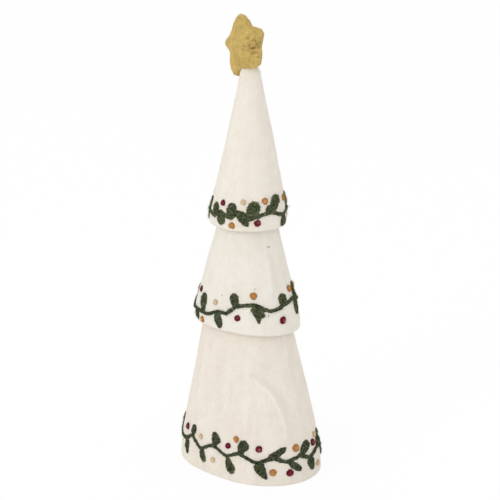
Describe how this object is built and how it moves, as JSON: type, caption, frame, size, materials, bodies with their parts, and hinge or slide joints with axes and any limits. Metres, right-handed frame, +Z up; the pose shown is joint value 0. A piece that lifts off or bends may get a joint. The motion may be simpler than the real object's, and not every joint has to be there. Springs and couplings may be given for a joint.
{
  "type": "wool christmas tree",
  "caption": "Slim tiered Christmas tree of felted wool: nested hollow cream cones, a leafy vine with berry dots round each hem, and a thick gold star astride the tip.",
  "frame": {"origin": "centre of the base on the ground plane, under the middle of the bottom hem", "axes": "+Z up along the tree, -Y towards the front of the picture, +X to the picture's right"},
  "size_m": [0.1107, 0.1094, 0.3493],
  "materials": {
    "cream_wool": "thick wet-felted wool, matt, softly mottled, with fine fuzz",
    "green_wool": "needle-felted wool, matt, mottled dark green",
    "gold_wool": "firm needle-felted wool, matt, with small dimples",
    "red_berry_wool": "needle-felted wool dot, matt, deep crimson",
    "orange_berry_wool": "needle-felted wool dot, matt, warm orange",
    "cream_berry_wool": "needle-felted wool dot, matt, beige"
  },
  "bodies": {
    "root": {"bottom_berry_01_red": "red_berry_wool", "bottom_berry_02_cream": "cream_berry_wool", "bottom_berry_03_cream": "cream_berry_wool", "bottom_berry_04_red": "red_berry_wool", "bottom_berry_05_orange": "orange_berry_wool", "bottom_berry_06_red": "red_berry_wool", "bottom_berry_07_orange": "orange_berry_wool", "bottom_berry_08_red": "red_berry_wool", "bottom_berry_09_orange": "orange_berry_wool", "bottom_berry_10_red": "red_berry_wool", "bottom_berry_11_cream": "cream_berry_wool", "bottom_berry_12_cream": "cream_berry_wool", "bottom_berry_13_orange": "orange_berry_wool", "bottom_berry_14_red": "red_berry_wool", "bottom_berry_15_orange": "orange_berry_wool", "bottom_berry_16_cream": "cream_berry_wool", "bottom_berry_17_red": "red_berry_wool", "bottom_berry_18_orange": "orange_berry_wool", "bottom_berry_19_red": "red_berry_wool", "bottom_berry_20_cream": "cream_berry_wool", "bottom_berry_21_orange": "orange_berry_wool", "bottom_berry_22_red": "red_berry_wool", "bottom_berry_23_orange": "orange_berry_wool", "bottom_berry_24_cream": "cream_berry_wool", "bottom_cone": "cream_wool", "bottom_vine": "green_wool", "middle_berry_01_red": "red_berry_wool", "middle_berry_02_orange": "orange_berry_wool", "middle_berry_03_cream": "cream_berry_wool", "middle_berry_04_red": "red_berry_wool", "middle_berry_05_orange": "orange_berry_wool", "middle_berry_06_red": "red_berry_wool", "middle_berry_07_orange": "orange_berry_wool", "middle_berry_08_cream": "cream_berry_wool", "middle_berry_09_red": "red_berry_wool", "middle_berry_10_orange": "orange_berry_wool", "middle_berry_11_cream": "cream_berry_wool", "middle_berry_12_red": "red_berry_wool", "middle_berry_13_orange": "orange_berry_wool", "middle_berry_14_red": "red_berry_wool", "middle_cone": "cream_wool", "middle_vine": "green_wool", "star": "gold_wool", "top_berry_01_red": "red_berry_wool", "top_berry_02_orange": "orange_berry_wool", "top_berry_03_cream": "cream_berry_wool", "top_berry_04_red": "red_berry_wool", "top_berry_05_orange": "orange_berry_wool", "top_berry_06_orange": "orange_berry_wool", "top_berry_07_red": "red_berry_wool", "top_berry_08_cream": "cream_berry_wool", "top_berry_09_orange": "orange_berry_wool", "top_berry_10_red": "red_berry_wool", "top_berry_11_orange": "orange_berry_wool", "top_berry_12_red": "red_berry_wool", "top_cone": "cream_wool", "top_vine": "green_wool"}
  },
  "joints": []
}
